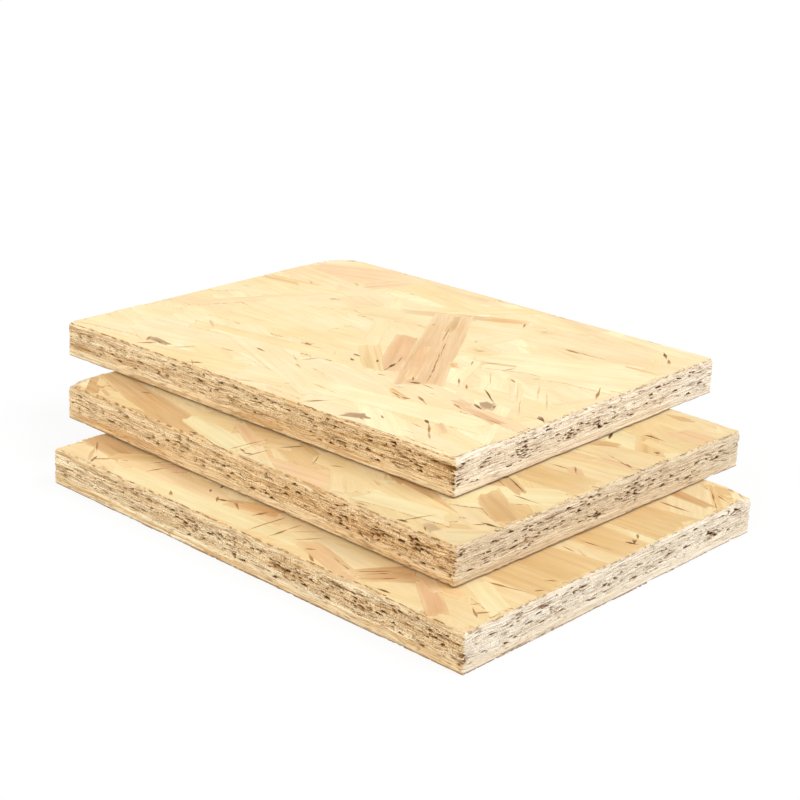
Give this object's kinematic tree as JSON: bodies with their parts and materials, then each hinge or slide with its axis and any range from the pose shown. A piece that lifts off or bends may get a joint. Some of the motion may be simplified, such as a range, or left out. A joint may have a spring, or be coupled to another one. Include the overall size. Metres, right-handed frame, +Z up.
{
  "type": "stack of osb panels",
  "caption": "Stack of small sawn oriented strand board panels, laid flat and slid back one on another, with open strand voids in the sawn edges.",
  "frame": {"origin": "centre of the bottom panel's underside", "axes": "+X along the panels' length, +Y across them, +Z up through the stack"},
  "size_m": [0.314, 0.2597, 0.054],
  "materials": {
    "bottom_board": "pressed strands, unsanded, sawn edges",
    "middle_board": "pressed strands, unsanded, sawn edges",
    "top_board": "pressed strands, unsanded, sawn edges"
  },
  "bodies": {
    "root": {"bottom_panel": "bottom_board", "middle_panel": "middle_board", "top_panel": "top_board"}
  },
  "joints": []
}
